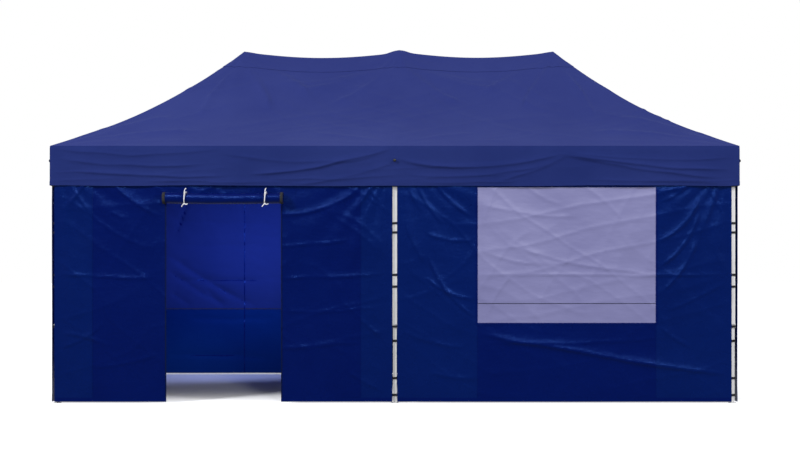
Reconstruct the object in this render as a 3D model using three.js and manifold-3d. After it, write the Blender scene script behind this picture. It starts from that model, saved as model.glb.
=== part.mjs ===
// A six-leg pop up canopy, 3 by 6 m, with scissor trusses, a two-peak roof cover and zip-in walls.
// Millimetres, +Z up. The origin is on the ground under the middle of the canopy; X is the long side, the
// door and the window are in the side that faces -Y.
import * as THREE from 'three';
import { mergeVertices } from 'three/addons/utils/BufferGeometryUtils.js';
import Module from 'manifold-3d';

const wasm = await Module();
wasm.setup();

// ---- driving dimensions ----
const LEG_SPACING = 2920;
const COVER_MARGIN = 50;
const EAVE_HEIGHT = 2220;
const RIDGE_HEIGHT = 3255;
const RIDGE_HALF = 1500;
const ROOF_SAG = 105;
const VALANCE_DEPTH = 340;
const CLOTH = 1.5;
const SEAM_GAP = 0.6;

const OUTER_TUBE = 40;
const OUTER_WALL = 2;
const OUTER_BOTTOM = 650;
const INNER_TUBE = 32;
const INNER_WALL = 2;
const INNER_TOP = 950;
const FOOT_SIZE = 60;
const FOOT_THICKNESS = 5;
const BRACKET_SIZE = 60;
const BRACKET_BOTTOM = 2120;
const BRACKET_TOP = 2180;

const SLIDER_SIZE = 60;
const SLIDER_HEIGHT = 60;
const SLIDER_BORE = 42;
const PIVOT_HEIGHT = 2150;
const SLIDER_DROP = 250;
const PIVOT_REACH = 48;
const LUG_THICKNESS = 6;
const LUG_HEIGHT = 30;
const LUG_TIP = 12;

const BAR_WIDTH = 22;
const BAR_THICKNESS = 9;
const LAYER_GAP = 2;

const WALL_SETBACK = 35;
const WALL_BOTTOM = 14;
const WALL_TOP = 2110;
const WALL_END = 2935;
const WINDOW_WALL_END = 2905;
const LEG_GAP = 22;
const DOOR_FROM = -1970;
const DOOR_TO = -980;
const DOOR_TOP = 1800;
const WINDOW_FROM = 710;
const WINDOW_TO = 2256;
const WINDOW_BOTTOM = 690;
const WINDOW_TOP = 1865;

// ---- worked out from them ----
const HALF_LENGTH = LEG_SPACING + COVER_MARGIN;
const HALF_DEPTH = LEG_SPACING / 2 + COVER_MARGIN;
const HALF_SPAN = LEG_SPACING / 2 - PIVOT_REACH;
const BAR_LENGTH = Math.hypot(HALF_SPAN, SLIDER_DROP);
const BAR_ANGLE = Math.atan2(SLIDER_DROP, HALF_SPAN);

const steelFinish = new THREE.MeshStandardMaterial({ color: 0xe6e6ea, roughness: 0.4, metalness: 0.3 });
const nylonFinish = new THREE.MeshStandardMaterial({ color: 0x1a1b20, roughness: 0.6, metalness: 0 });
const coverFinish = new THREE.MeshStandardMaterial({ color: 0x1c2a6e, roughness: 0.8, metalness: 0 });
const wallFinish = new THREE.MeshStandardMaterial({ color: 0x06145a, roughness: 0.45, metalness: 0 });
const clearFinish = new THREE.MeshStandardMaterial({
  color: 0xb0b0d4, roughness: 0.15, metalness: 0, transparent: true, opacity: 0.5,
});

const canopy = new THREE.Group();

function addPiece(name, geometry, material) {
  const mesh = new THREE.Mesh(geometry, material);
  mesh.name = name;
  canopy.add(mesh);
  return mesh;
}

// ---- solids ----
function toSolid(geometry) {
  const bare = geometry.clone();
  bare.deleteAttribute('normal');
  bare.deleteAttribute('uv');
  const merged = mergeVertices(bare, 1e-4);
  return new wasm.Manifold(new wasm.Mesh({
    numProp: 3,
    vertProperties: Float32Array.from(merged.attributes.position.array),
    triVerts: Uint32Array.from(merged.index.array),
  }));
}

function toGeometry(solid) {
  const mesh = solid.getMesh();
  const geometry = new THREE.BufferGeometry();
  geometry.setAttribute('position', new THREE.BufferAttribute(Float32Array.from(mesh.vertProperties), 3));
  geometry.setIndex(new THREE.BufferAttribute(Uint32Array.from(mesh.triVerts), 1));
  geometry.computeVertexNormals();
  return geometry;
}

// A box from its lowest corner to its highest corner.
function block(low, high) {
  const size = high.map((value, k) => value - low[k]);
  const middle = high.map((value, k) => (value + low[k]) / 2);
  return new THREE.BoxGeometry(...size).translate(...middle);
}

function squareBlock(size, bottom, top) {
  return block([-size / 2, -size / 2, bottom], [size / 2, size / 2, top]);
}

// ---- legs and spans: where each stands and how the trusses run between them ----
const legs = {};
for (const [row, y] of [['front', -LEG_SPACING / 2], ['rear', LEG_SPACING / 2]]) {
  for (const [column, x] of [['left', -LEG_SPACING], ['middle', 0], ['right', LEG_SPACING]]) {
    legs[`${row}_${column}`] = { x, y, arms: [] };
  }
}

const spans = [
  { name: 'front_left_truss', from: 'front_left', to: 'front_middle', axis: 'x' },
  { name: 'front_right_truss', from: 'front_middle', to: 'front_right', axis: 'x' },
  { name: 'rear_left_truss', from: 'rear_left', to: 'rear_middle', axis: 'x' },
  { name: 'rear_right_truss', from: 'rear_middle', to: 'rear_right', axis: 'x' },
  { name: 'left_end_truss', from: 'front_left', to: 'rear_left', axis: 'y' },
  { name: 'middle_truss', from: 'front_middle', to: 'rear_middle', axis: 'y' },
  { name: 'right_end_truss', from: 'front_right', to: 'rear_right', axis: 'y' },
];

// An arm is a lug that reaches from a leg towards the next leg; side says in which layer its top bar runs.
for (const span of spans) {
  legs[span.from].arms.push({ axis: span.axis, direction: 1, topBarLayer: -1 });
  legs[span.to].arms.push({ axis: span.axis, direction: -1, topBarLayer: 1 });
}

function lug(arm, layer, start, height) {
  const along = [arm.direction * start, arm.direction * (PIVOT_REACH + LUG_TIP)].sort((a, b) => a - b);
  const across = [layer * LAYER_GAP, layer * (LAYER_GAP + LUG_THICKNESS)].sort((a, b) => a - b);
  const [xs, ys] = arm.axis === 'x' ? [along, across] : [across, along];
  const low = [xs[0], ys[0], height - LUG_HEIGHT / 2];
  const high = [xs[1], ys[1], height + LUG_HEIGHT / 2];
  return toSolid(block(low, high));
}

function upperLeg(arms) {
  const inner = OUTER_TUBE - 2 * OUTER_WALL;
  let solid = toSolid(squareBlock(OUTER_TUBE, OUTER_BOTTOM, BRACKET_TOP - 5));
  solid = solid.subtract(toSolid(squareBlock(inner, OUTER_BOTTOM - 1, BRACKET_BOTTOM)));
  solid = solid.add(toSolid(squareBlock(BRACKET_SIZE, BRACKET_BOTTOM, BRACKET_TOP)));
  for (const arm of arms) {
    solid = solid.add(lug(arm, -arm.topBarLayer, OUTER_TUBE / 2, PIVOT_HEIGHT));
  }
  return toGeometry(solid);
}

function lowerLeg() {
  const inner = INNER_TUBE - 2 * INNER_WALL;
  let solid = toSolid(squareBlock(INNER_TUBE, FOOT_THICKNESS - 1, INNER_TOP));
  solid = solid.add(toSolid(squareBlock(FOOT_SIZE, 0, FOOT_THICKNESS)));
  solid = solid.subtract(toSolid(squareBlock(inner, FOOT_THICKNESS, INNER_TOP + 1)));
  return toGeometry(solid);
}

function slider(arms) {
  const middle = PIVOT_HEIGHT - SLIDER_DROP;
  const bottom = middle - SLIDER_HEIGHT / 2;
  const top = middle + SLIDER_HEIGHT / 2;
  let solid = toSolid(squareBlock(SLIDER_SIZE, bottom, top));
  for (const arm of arms) {
    solid = solid.add(lug(arm, arm.topBarLayer, SLIDER_BORE / 2 + 4, middle));
  }
  solid = solid.subtract(toSolid(squareBlock(SLIDER_BORE, bottom - 1, top + 1)));
  return toGeometry(solid);
}

for (const [name, leg] of Object.entries(legs)) {
  addPiece(`${name}_upper_leg`, upperLeg(leg.arms), steelFinish).position.set(leg.x, leg.y, 0);
  addPiece(`${name}_lower_leg`, lowerLeg(), steelFinish).position.set(leg.x, leg.y, 0);
  addPiece(`${name}_slider`, slider(leg.arms), nylonFinish).position.set(leg.x, leg.y, 0);
}

// ---- scissor bars: flat bars with round ends, in two layers ----
function barGeometry() {
  const radius = BAR_WIDTH / 2;
  const outline = new THREE.Shape();
  outline.absarc(BAR_LENGTH, 0, radius, -Math.PI / 2, Math.PI / 2, false);
  outline.absarc(0, 0, radius, Math.PI / 2, (3 * Math.PI) / 2, false);
  const options = { depth: BAR_THICKNESS, bevelEnabled: false, curveSegments: 5 };
  const geometry = new THREE.ExtrudeGeometry(outline, options);
  // Now along +X and standing on edge, with its thickness along Y and its middle on the XZ plane.
  return geometry.translate(0, 0, -BAR_THICKNESS / 2).rotateX(Math.PI / 2);
}

// A bar leaves a leg's arm at its top pivot or at its slider, and slopes down or up to mid span.
function addBar(name, leg, axis, direction, fromTop, layer) {
  const slope = fromTop ? BAR_ANGLE : -BAR_ANGLE;
  const geometry = barGeometry().rotateY(slope);
  geometry.translate(0, layer * (LAYER_GAP + BAR_THICKNESS / 2), 0);
  if (direction < 0) {
    // Half a turn about Z would swap the layer, so the layer is put back afterwards.
    geometry.translate(0, -2 * layer * (LAYER_GAP + BAR_THICKNESS / 2), 0).rotateZ(Math.PI);
  }
  geometry.translate(direction * PIVOT_REACH, 0, 0);
  if (axis === 'y') {
    geometry.rotateZ(Math.PI / 2);
    geometry.translate(2 * layer * (LAYER_GAP + BAR_THICKNESS / 2), 0, 0);
  }
  const height = fromTop ? PIVOT_HEIGHT : PIVOT_HEIGHT - SLIDER_DROP;
  addPiece(name, toGeometry(toSolid(geometry)), steelFinish).position.set(leg.x, leg.y, height);
}

for (const span of spans) {
  addBar(`${span.name}_bar_a`, legs[span.from], span.axis, 1, true, -1);
  addBar(`${span.name}_bar_b`, legs[span.from], span.axis, 1, false, 1);
  addBar(`${span.name}_bar_c`, legs[span.to], span.axis, -1, false, -1);
  addBar(`${span.name}_bar_d`, legs[span.to], span.axis, -1, true, 1);
}

// ---- roof cover: four sewn panels that hang in a curve between the eave and the ridge ----
// t is 0 at the eave and 1 at the ridge.
function roofHeight(t) {
  return EAVE_HEIGHT + (RIDGE_HEIGHT - EAVE_HEIGHT) * t - ROOF_SAG * Math.sin(Math.PI * t);
}

// A cloth panel over a plan outline that tapers from the eave to the ridge, as one closed solid.
// place(across, t) gives the plan position of a point, with across from -1 to 1.
function clothPanel(place, columns, rows) {
  const points = [];
  const faces = [];
  const upper = (i, j) => 2 * (j * (columns + 1) + i);
  const lower = (i, j) => upper(i, j) + 1;
  for (let j = 0; j <= rows; j += 1) {
    for (let i = 0; i <= columns; i += 1) {
      const t = j / rows;
      const [x, y] = place((2 * i) / columns - 1, t);
      points.push(x, y, roofHeight(t) + CLOTH, x, y, roofHeight(t));
    }
  }
  const quad = (a, b, c, d) => faces.push(a, b, c, a, c, d);
  for (let j = 0; j < rows; j += 1) {
    for (let i = 0; i < columns; i += 1) {
      quad(upper(i, j), upper(i + 1, j), upper(i + 1, j + 1), upper(i, j + 1));
      quad(lower(i, j), lower(i, j + 1), lower(i + 1, j + 1), lower(i + 1, j));
    }
    quad(upper(0, j), upper(0, j + 1), lower(0, j + 1), lower(0, j));
    quad(upper(columns, j + 1), upper(columns, j), lower(columns, j), lower(columns, j + 1));
  }
  for (let i = 0; i < columns; i += 1) {
    quad(upper(i + 1, 0), upper(i, 0), lower(i, 0), lower(i + 1, 0));
    quad(upper(i, rows), upper(i + 1, rows), lower(i + 1, rows), lower(i, rows));
  }
  const geometry = new THREE.BufferGeometry();
  geometry.setAttribute('position', new THREE.BufferAttribute(new Float32Array(points), 3));
  geometry.setIndex(faces);
  return geometry;
}

function slopePanel(across, t) {
  const half = HALF_LENGTH + (RIDGE_HALF - HALF_LENGTH) * t - SEAM_GAP;
  return [across * half, -HALF_DEPTH + (HALF_DEPTH - SEAM_GAP) * t];
}

function endPanel(across, t) {
  const half = HALF_DEPTH * (1 - t) - SEAM_GAP + 4 * SEAM_GAP * t;
  return [HALF_LENGTH + (RIDGE_HALF - HALF_LENGTH) * t + 4 * SEAM_GAP * t, across * half];
}

const SLOPE_COLUMNS = 4;
const END_COLUMNS = 2;
const ROOF_ROWS = 6;
const slope = clothPanel(slopePanel, SLOPE_COLUMNS, ROOF_ROWS);
const end = clothPanel(endPanel, END_COLUMNS, ROOF_ROWS);
addPiece('roof_front', slope, coverFinish);
addPiece('roof_rear', slope.clone().rotateZ(Math.PI), coverFinish);
addPiece('roof_right', end, coverFinish);
addPiece('roof_left', end.clone().rotateZ(Math.PI), coverFinish);

// ---- valance: the band that hangs from the eave ----
const valanceTop = EAVE_HEIGHT - SEAM_GAP;
const valanceBottom = EAVE_HEIGHT - VALANCE_DEPTH;
for (const [name, side] of [['valance_front', -1], ['valance_rear', 1]]) {
  const ys = [side * (HALF_DEPTH - CLOTH), side * HALF_DEPTH].sort((a, b) => a - b);
  const low = [-HALF_LENGTH, ys[0], valanceBottom];
  addPiece(name, block(low, [HALF_LENGTH, ys[1], valanceTop]), coverFinish);
}
for (const [name, side] of [['valance_left', -1], ['valance_right', 1]]) {
  const xs = [side * (HALF_LENGTH - CLOTH), side * HALF_LENGTH].sort((a, b) => a - b);
  const reach = HALF_DEPTH - CLOTH - SEAM_GAP;
  addPiece(name, block([xs[0], -reach, valanceBottom], [xs[1], reach, valanceTop]), coverFinish);
}

// ---- walls ----
// A wall cut from an outline of [x, z] corners, standing at y.
function wallFrom(corners, holes, y) {
  const outline = new THREE.Shape(corners.map(([x, z]) => new THREE.Vector2(x, z)));
  for (const hole of holes) {
    outline.holes.push(new THREE.Path(hole.map(([x, z]) => new THREE.Vector2(x, z))));
  }
  const geometry = new THREE.ExtrudeGeometry(outline, { depth: CLOTH, bevelEnabled: false });
  return toGeometry(toSolid(geometry.rotateX(Math.PI / 2).translate(0, y + CLOTH / 2, 0)));
}

function rectangle(x0, x1, z0, z1) {
  return [[x0, z0], [x1, z0], [x1, z1], [x0, z1]];
}

const wallY = LEG_SPACING / 2 + WALL_SETBACK;
const doorWall = [
  [-WALL_END, WALL_BOTTOM], [DOOR_FROM, WALL_BOTTOM], [DOOR_FROM, DOOR_TOP], [DOOR_TO, DOOR_TOP],
  [DOOR_TO, WALL_BOTTOM], [-LEG_GAP, WALL_BOTTOM], [-LEG_GAP, WALL_TOP], [-WALL_END, WALL_TOP],
];
const windowHole = rectangle(WINDOW_FROM, WINDOW_TO, WINDOW_BOTTOM, WINDOW_TOP);
const pane = rectangle(
  WINDOW_FROM + SEAM_GAP, WINDOW_TO - SEAM_GAP, WINDOW_BOTTOM + SEAM_GAP, WINDOW_TOP - SEAM_GAP,
);
addPiece('front_left_wall', wallFrom(doorWall, [], -wallY), wallFinish);
addPiece(
  'front_right_wall',
  wallFrom(rectangle(LEG_GAP, WINDOW_WALL_END, WALL_BOTTOM, WALL_TOP), [windowHole], -wallY),
  wallFinish,
);
addPiece('window_pane', wallFrom(pane, [], -wallY), clearFinish);
addPiece(
  'rear_wall', wallFrom(rectangle(-WALL_END, WALL_END, WALL_BOTTOM, WALL_TOP), [], wallY), wallFinish,
);
const sideReach = LEG_SPACING / 2 + WALL_SETBACK - 5;
for (const [name, side] of [['left_wall', -1], ['right_wall', 1]]) {
  const sheet = wallFrom(rectangle(-sideReach, sideReach, WALL_BOTTOM, WALL_TOP), [], 0);
  const x = side * (LEG_SPACING + WALL_SETBACK);
  addPiece(name, sheet.rotateZ(Math.PI / 2).translate(x, 0, 0), wallFinish);
}

export default canopy;
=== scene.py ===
"""Looks of the pop up canopy: roof cover, valance, walls, window, rolled door, straps and small hardware."""
import math

import bmesh
import bpy
import numpy as np
from mathutils import Matrix, Vector


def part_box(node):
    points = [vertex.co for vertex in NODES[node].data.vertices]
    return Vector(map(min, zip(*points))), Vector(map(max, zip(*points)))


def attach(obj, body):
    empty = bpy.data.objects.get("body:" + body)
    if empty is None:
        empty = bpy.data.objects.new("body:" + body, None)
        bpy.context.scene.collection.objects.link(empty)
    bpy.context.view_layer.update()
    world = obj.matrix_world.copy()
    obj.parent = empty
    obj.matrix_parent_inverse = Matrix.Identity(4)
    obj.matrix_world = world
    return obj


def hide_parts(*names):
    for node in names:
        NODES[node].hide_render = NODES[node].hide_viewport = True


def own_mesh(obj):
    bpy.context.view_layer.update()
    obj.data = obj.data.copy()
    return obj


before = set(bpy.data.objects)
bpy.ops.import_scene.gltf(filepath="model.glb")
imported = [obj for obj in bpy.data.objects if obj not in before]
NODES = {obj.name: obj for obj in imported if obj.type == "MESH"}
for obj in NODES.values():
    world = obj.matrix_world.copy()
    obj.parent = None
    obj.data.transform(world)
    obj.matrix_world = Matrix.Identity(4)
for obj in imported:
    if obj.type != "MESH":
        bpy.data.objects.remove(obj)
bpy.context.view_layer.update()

# ---- sizes read from the frame, in metres ----
ROOF_LOW, ROOF_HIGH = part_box("roof_front")
END_LOW, END_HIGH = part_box("roof_right")
HALF_LENGTH = ROOF_HIGH[0]
HALF_DEPTH = -ROOF_LOW[1]
EAVE = ROOF_LOW[2]
RIDGE = ROOF_HIGH[2]
RIDGE_HALF = END_LOW[0]
VALANCE_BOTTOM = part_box("valance_front")[0][2]
DOOR_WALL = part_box("front_left_wall")
WINDOW_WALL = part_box("front_right_wall")
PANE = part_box("window_pane")
FRONT_Y = (DOOR_WALL[0][1] + DOOR_WALL[1][1]) / 2
SIDE_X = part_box("right_wall")[1][0]
WALL_BOTTOM = DOOR_WALL[0][2]
WALL_TOP = DOOR_WALL[1][2]
LEG_X = 2.92
LEG_Y = 1.46
PIVOT_REACH = 0.048
PIVOT_HEIGHT = 2.15
SLIDER_DROP = 0.25

# ---- sizes of the soft goods ----
DOOR_LEFT = -1.97
DOOR_RIGHT = -0.98
DOOR_TOP = 1.80
ROOF_SAG = 0.105
RIDGE_SAG = 0.055
MASTS = (-RIDGE_HALF, 0.0, RIDGE_HALF)
MAST_CAPS = (0.006, 0.020, 0.006)
CLOTH = 0.0012
TAPE_LIFT = 0.0022
HEM_LIFT = 1.1 * TAPE_LIFT
HEM = 0.035

# ---- bodies and fold settings for the soft goods; follow_fold uses only the bodies ----
WALL_KEEP = 0.12
SLOPE_KEEP = 0.302
BAND_KEEP = 0.302
END_KEEP = 0.415
END_ANCHOR = (0, 2.204, 0)
REAR_ANCHOR = (0, LEG_Y, 0)
CENTRE = (0, 0, 0)
ALONG_X = (1, 0, 0)
ALONG_Y = (0, 1, 0)
SLOPE_MOTION = (ALONG_X, CENTRE, SLOPE_KEEP)
BAND_MOTION = (ALONG_X, CENTRE, BAND_KEEP)
END_MOTION = (ALONG_Y, END_ANCHOR, END_KEEP)
FRONT_HANG = ("front_middle_leg", ALONG_X, CENTRE, WALL_KEEP)
REAR_HANG = ("rear_middle_leg", ALONG_X, CENTRE, WALL_KEEP)


# ---- materials ----
class Paint:
    """One procedural material, built up node by node round a Principled shader."""

    def __init__(self, name, roughness, metallic=0.0):
        self.material = bpy.data.materials.new(name)
        self.material.use_nodes = True
        self.tree = self.material.node_tree
        self.shader = self.tree.nodes["Principled BSDF"]
        self.fix("Roughness", roughness)
        self.fix("Metallic", metallic)
        self.place = self.add("ShaderNodeTexCoord").outputs["Object"]
        self.normal = None

    def fix(self, name, value):
        """Sets a constant on the shader's own socket."""
        self.shader.inputs[name].default_value = value

    def add(self, kind, **values):
        node = self.tree.nodes.new(kind)
        for key, value in values.items():
            setattr(node, key, value)
        return node

    def link(self, start, end):
        self.tree.links.new(start, end)

    def noise(self, scale, detail=3.0, stretch=(1, 1, 1), rough=0.5):
        mapping = self.add("ShaderNodeMapping")
        mapping.inputs["Scale"].default_value = stretch
        self.link(self.place, mapping.inputs["Vector"])
        node = self.add("ShaderNodeTexNoise")
        node.inputs["Scale"].default_value = scale
        node.inputs["Detail"].default_value = detail
        node.inputs["Roughness"].default_value = rough
        self.link(mapping.outputs["Vector"], node.inputs["Vector"])
        return node.outputs["Fac"]

    def wave(self, scale, direction, distortion=0.0):
        node = self.add("ShaderNodeTexWave", bands_direction=direction)
        node.inputs["Scale"].default_value = scale
        node.inputs["Distortion"].default_value = distortion
        self.link(self.place, node.inputs["Vector"])
        return node.outputs["Fac"]

    def math(self, operation, a, b):
        node = self.add("ShaderNodeMath", operation=operation)
        for socket, value in zip(node.inputs, (a, b)):
            if isinstance(value, (int, float)):
                socket.default_value = value
            else:
                self.link(value, socket)
        return node.outputs[0]

    def ramp(self, factor, stops):
        node = self.add("ShaderNodeValToRGB")
        elements = node.color_ramp.elements
        while len(elements) < len(stops):
            elements.new(0.5)
        for element, (position, colour) in zip(elements, stops):
            element.position = position
            element.color = (*colour, 1)
        self.link(factor, node.inputs["Fac"])
        return node.outputs["Color"]

    def colour(self, socket):
        self.link(socket, self.shader.inputs["Base Color"])

    def vary_roughness(self, factor, low, high):
        node = self.add("ShaderNodeMapRange")
        node.inputs["To Min"].default_value = low
        node.inputs["To Max"].default_value = high
        self.link(factor, node.inputs["Value"])
        self.link(node.outputs["Result"], self.shader.inputs["Roughness"])

    def bump(self, height, distance, strength=1.0):
        node = self.add("ShaderNodeBump")
        node.inputs["Distance"].default_value = distance
        node.inputs["Strength"].default_value = strength
        self.link(height, node.inputs["Height"])
        if self.normal is not None:
            self.link(self.normal, node.inputs["Normal"])
        self.normal = node.outputs["Normal"]
        self.link(self.normal, self.shader.inputs["Normal"])


def weave(paint, scale, depth):
    """Plain weave: threads along and across, seen on walls that face any way."""
    upright = paint.wave(scale, "Z")
    level = paint.math("MULTIPLY", paint.wave(scale, "X"), paint.wave(scale, "Y"))
    paint.bump(paint.math("ADD", upright, level), depth, 0.5)


def cloth_material(name, dark, light, roughness, sheen, specular, crumple):
    paint = Paint(name, roughness)
    patch = paint.noise(0.9, 5.0, rough=0.6)
    paint.colour(paint.ramp(patch, [(0.3, dark), (0.7, light)]))
    paint.fix("Sheen Weight", sheen)
    paint.fix("Sheen Roughness", 0.45)
    paint.fix("Sheen Tint", (0.35, 0.45, 1.0, 1))
    paint.fix("Specular IOR Level", specular)
    paint.fix("Specular Tint", (0.09, 0.27, 1.0, 1))
    paint.vary_roughness(paint.noise(6.0, 4.0), roughness - 0.08, roughness + 0.08)
    paint.bump(paint.noise(2.6, 6.0, (1, 1, 1.8), 0.62), crumple, 0.8)
    weave(paint, 260.0, 0.0003)
    return paint.material


def film_material():
    paint = Paint("window_film_painted_inside_shade", 0.40)
    # The film's grey-blue tone is painted shade: the dark blue inside, seen through pale film, is painted
    # onto the film itself.
    patch = paint.noise(1.4, 4.0)
    paint.colour(paint.ramp(patch, [(0.3, (0.21, 0.21, 0.43)), (0.7, (0.25, 0.25, 0.48))]))
    paint.fix("Specular IOR Level", 0.35)
    paint.fix("Alpha", 0.88)
    paint.bump(paint.noise(3.0, 4.0, (1, 1, 2.4)), 0.012, 0.7)
    return paint.material


def coated_metal(name, tone, roughness, metallic):
    paint = Paint(name, roughness, metallic)
    scuff = paint.noise(14.0, 6.0, (1, 1, 0.15), 0.7)
    worn = tuple(c * 0.82 for c in tone)
    paint.colour(paint.ramp(scuff, [(0.36, worn), (0.52, tone)]))
    paint.vary_roughness(paint.noise(40.0, 3.0), roughness - 0.08, roughness + 0.1)
    paint.bump(paint.noise(900.0, 2.0), 0.0002, 0.4)
    return paint.material


def moulded_plastic(name, tone):
    paint = Paint(name, 0.5)
    worn = tuple(c * 1.8 + 0.01 for c in tone)
    paint.colour(paint.ramp(paint.noise(30.0, 5.0, rough=0.7), [(0.45, tone), (0.75, worn)]))
    paint.vary_roughness(paint.noise(55.0, 3.0), 0.4, 0.62)
    paint.bump(paint.noise(700.0, 2.0), 0.0004, 0.5)
    return paint.material


def webbing_material(name, tone):
    paint = Paint(name, 0.85)
    worn = tuple(c * 1.5 + 0.01 for c in tone)
    paint.colour(paint.ramp(paint.noise(60.0, 4.0), [(0.35, tone), (0.75, worn)]))
    ribs = paint.math("ADD", paint.wave(220.0, "Z"), paint.wave(220.0, "X"))
    paint.bump(ribs, 0.0008, 0.8)
    return paint.material


# The cloths: dark tone, light tone, roughness, sheen, specular level, depth of the crumples.
CLOTHS = {
    "cover_cloth": ((0.020, 0.028, 0.150), (0.027, 0.037, 0.172), 0.80, 0.12, 0.25, 0.006),
    "wall_cloth": ((0.0002, 0.0026, 0.072), (0.0004, 0.0042, 0.088), 0.27, 0.0, 0.50, 0.011),
    "zip_cloth": ((0.004, 0.006, 0.030), (0.006, 0.009, 0.040), 0.60, 0.0, 0.2, 0.002),
    # panel_cloth_painted_sheen is the wall cloth made a little glossier and painted lighter. Its lighter tone
    # is painted sheen.
    "panel_cloth_painted_sheen": ((0.0003, 0.0050, 0.078), (0.0006, 0.0070, 0.094), 0.27, 0.0, 0.60, 0.011),
    # lining_cloth_painted_light and skirt_cloth_painted_light are lighter than the wall cloth. This is
    # painted light shining through the rear wall from behind, stronger above the seam.
    "lining_cloth_painted_light": ((0.0085, 0.0190, 0.118), (0.0115, 0.0235, 0.135), 0.70, 0.0, 0.10, 0.010),
    "skirt_cloth_painted_light": ((0.0006, 0.0130, 0.105), (0.0010, 0.0180, 0.125), 0.50, 0.0, 0.15, 0.010),
    "band_cloth": ((0.013, 0.022, 0.122), (0.019, 0.030, 0.146), 0.80, 0.10, 0.22, 0.006),
}
COVER, WALL, ZIP, PANEL_WITH_PAINTED_SHEEN, LINING_PAINTED_LIGHT, SKIRT_PAINTED_LIGHT, BAND = (cloth_material(name, *look) for name, look in CLOTHS.items())
FILM = film_material()
STEEL = coated_metal("white_powder_coat", (0.90, 0.90, 0.91), 0.38, 0.0)
BAR = coated_metal("white_bar_coat", (0.74, 0.75, 0.77), 0.36, 0.25)
ZINC = coated_metal("zinc_plate", (0.55, 0.56, 0.58), 0.3, 1.0)
NYLON = moulded_plastic("black_nylon", (0.012, 0.012, 0.014))
STRAP = webbing_material("black_webbing", (0.010, 0.010, 0.013))
TIE = webbing_material("white_tape", (0.78, 0.78, 0.80))
THREAD = webbing_material("seam_thread", (0.003, 0.005, 0.035))
COLLAR = moulded_plastic("grey_nylon", (0.40, 0.40, 0.42))


# ---- cloth shapes ----
def value_noise(x, y, seed):
    """Smooth noise from -1 to 1, the same on every run."""
    xi, yi = np.floor(x), np.floor(y)
    fx, fy = x - xi, y - yi
    fx = fx * fx * (3 - 2 * fx)
    fy = fy * fy * (3 - 2 * fy)

    def corner(i, j):
        h = np.sin(i * 127.1 + j * 311.7 + seed * 74.7) * 43758.5453
        return 2 * (h - np.floor(h)) - 1

    low = corner(xi, yi) * (1 - fx) + corner(xi + 1, yi) * fx
    high = corner(xi, yi + 1) * (1 - fx) + corner(xi + 1, yi + 1) * fx
    return low * (1 - fy) + high * fy


def creases(x, y, angle, spacing, length, seed, sharpness=3.0):
    """Thin raised folds that run along angle (degrees), about spacing apart and length long; 0 to 1."""
    a = math.radians(angle)
    along = x * math.cos(a) + y * math.sin(a)
    across = -x * math.sin(a) + y * math.cos(a)
    wander = 0.35 * value_noise(along / length * 2.1, across / length, seed + 5)
    n = value_noise(along / length, across / spacing + wander, seed)
    return np.maximum(0.0, 1 - np.abs(n) * 2.2) ** sharpness


def swell(x, y, size, seed):
    """Slow billows of the cloth, -1 to 1."""
    large = value_noise(x / size, y / size, seed)
    small = value_noise(2.3 * x / size, 2 * y / size, seed + 1)
    return 0.65 * large + 0.35 * small


SOFT_SIDE = 2.6
CRISP_SIDE = 0.9


def fold_line(x, y, start, end, sag, width, depth):
    """One long fold from start to end that hangs by sag in its middle: crisp below, soft above."""
    dx, dy = end[0] - start[0], end[1] - start[1]
    length = math.hypot(dx, dy)
    along = ((x - start[0]) * dx + (y - start[1]) * dy) / length ** 2
    side = 1 if dx >= 0 else -1
    across = side * ((y - start[1]) * dx - (x - start[0]) * dy) / length
    share = np.clip(along, 0, 1)
    across = across + 4 * sag * share * (1 - share) + 0.01 * value_noise(4 * x + start[0], 0 * x, length)
    spread = np.where(across > 0, SOFT_SIDE * width, CRISP_SIDE * width)
    ends = np.clip(np.minimum(along, 1 - along) * 6 + 0.15, 0, 1)
    uneven = 0.75 + 0.25 * value_noise(6 * share, 0 * x, sag)
    return depth * np.exp(-np.abs(across) / spread) * ends * uneven


def fold_lines(x, y, lines, narrow=1.0):
    """Sum of folds, each a start x and y, an end x and y, a sag, a width and a depth."""
    return sum(
        fold_line(x, y, (x0, y0), (x1, y1), sag, width * narrow, depth)
        for x0, y0, x1, y1, sag, width, depth in lines
    )


def rays(x, y, at, count, reach, phase=0.0):
    """Pulled folds that fan out from a point where the cloth is held; -1 to 1."""
    dx, dy = x - at[0], y - at[1]
    r = np.hypot(dx, dy)
    angle = np.arctan2(dy, dx)
    return np.cos(count * angle + phase + 1.5 * np.sin(angle * 3)) * np.exp(-r / reach) * r / (r + 0.12)


def ridge_height(x):
    """The ridge line, held up by the masts and sagging between them."""
    share = np.clip(np.abs(x) / RIDGE_HALF, 0, 1)
    return RIDGE - RIDGE_SAG * np.sin(np.pi * share)


ROOF_FOLDS = (
    (0.02, 0.10, 0.95, 0.42, -0.05, 0.020, 0.025),
    (0.04, 0.12, 0.62, 0.62, -0.05, 0.022, 0.022),
    (0.25, 0.20, 1.15, 0.34, -0.04, 0.020, 0.020),
    (1.45, 0.10, 0.80, 0.50, 0.06, 0.022, 0.031),
    (1.48, 0.14, 1.15, 0.72, 0.04, 0.020, 0.025),
    (1.60, 0.12, 2.05, 0.62, 0.05, 0.020, 0.025),
    (1.55, 0.20, 1.78, 0.86, 0.05, 0.020, 0.024),
    (2.85, 1.42, 1.75, 1.15, 0.04, 0.022, 0.027),
    (2.86, 1.38, 2.05, 0.90, 0.05, 0.024, 0.027),
    (2.80, 1.46, 1.55, 1.38, 0.03, 0.018, 0.020),
    (0.05, 1.44, 0.70, 1.18, 0.05, 0.020, 0.020),
    (0.10, 1.47, 1.05, 1.36, 0.04, 0.018, 0.019),
)
PEAK_PULL = 0.0085
CORNER_PULL = 0.0100
LEG_PULL = 0.0060
ROOF_CREASE = 0.0065
ROOF_BILLOW = 0.010
ROOF_FOLD_DEPTH = 1.5
ROOF_FOLD_NARROW = 0.85


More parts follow.
